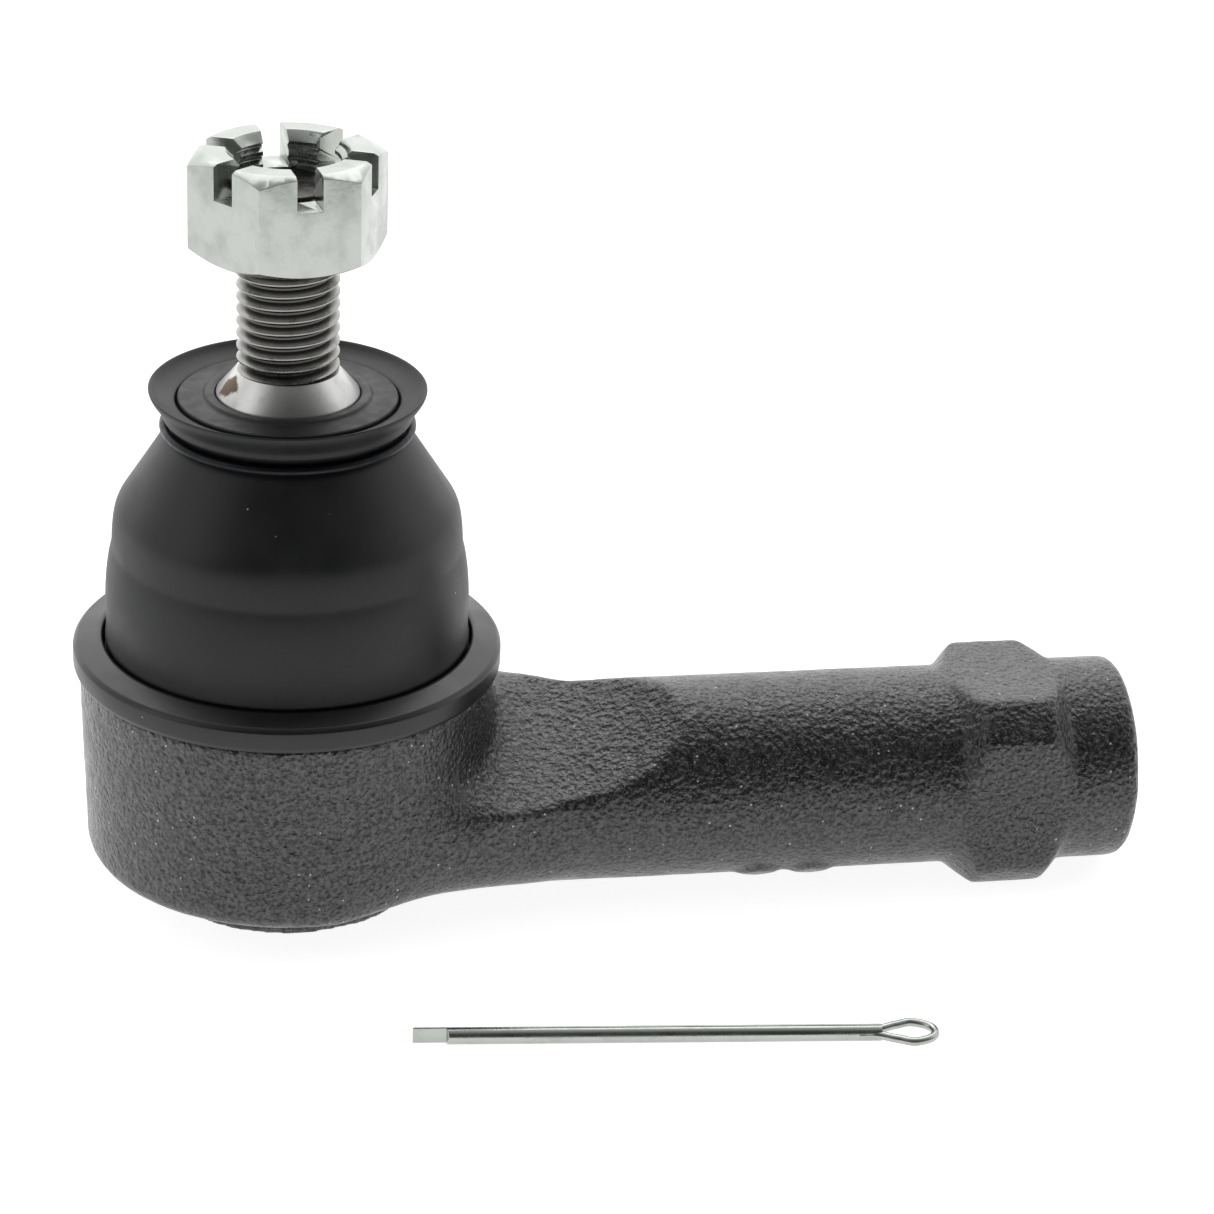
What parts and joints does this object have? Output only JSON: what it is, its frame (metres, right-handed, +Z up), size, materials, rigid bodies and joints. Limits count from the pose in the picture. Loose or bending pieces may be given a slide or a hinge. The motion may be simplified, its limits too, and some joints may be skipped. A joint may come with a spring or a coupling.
{
  "type": "tie rod end",
  "caption": "Outer tie rod end: forged housing with threaded shank, sealed ball stud with dust boot, slotted nut and loose split pin.",
  "frame": {"origin": "on the ball stud's axis, at the flat bottom of the housing that the part rests on", "axes": "+Z up the stud, +X along the shank towards its threaded end"},
  "size_m": [0.1073, 0.0635, 0.0774],
  "materials": {
    "forging": "satin black paint over a rough forging",
    "stud_steel": "bright machined and rolled steel",
    "bearing": "natural acetal",
    "spring_steel": "tempered spring steel",
    "cover": "black paint",
    "ring": "rubber-covered steel ring",
    "boot": "satin black rubber",
    "seal": "matt black rubber",
    "clip": "black spring wire",
    "nut_zinc": "bright zinc plate",
    "pin_zinc": "zinc plated wire"
  },
  "bodies": {
    "housing": {"housing": "forging", "upper_seat": "bearing", "lower_seat": "bearing", "preload_spring": "spring_steel", "end_cover": "cover", "boot_ring": "ring"},
    "boot": {"dust_boot": "boot"},
    "boot_neck": {"seal_ring": "seal", "boot_clip": "clip"},
    "stud": {"ball_stud": "stud_steel"},
    "nut": {"castle_nut": "nut_zinc"},
    "split_pin": {"cotter_pin": "pin_zinc"}
  },
  "joints": [
    {"name": "tilt_direction", "type": "hinge", "parent": "housing", "child": "boot", "pos_m": [0, 0, 0.01576], "axis": [0, 0, 1], "continuous": true},
    {"name": "stud_tilt", "type": "hinge", "parent": "boot", "child": "boot_neck", "pos_m": [0, 0, 0.01576], "axis": [0, 1, 0], "range_deg": [-25, 25], "deforming": ["dust_boot"]},
    {"name": "stud_spin", "type": "hinge", "parent": "boot_neck", "child": "stud", "pos_m": [0, 0, 0.01576], "axis": [0, 0, 1], "continuous": true},
    {"name": "nut_travel", "type": "slide", "parent": "stud", "child": "nut", "axis": [0, 0, 1], "range_m": [-0.01, 0.03]},
    {"name": "pin_lift", "type": "slide", "parent": "housing", "child": "split_pin", "axis": [0, 0, 1], "range_m": [0, 0.05]}
  ]
}
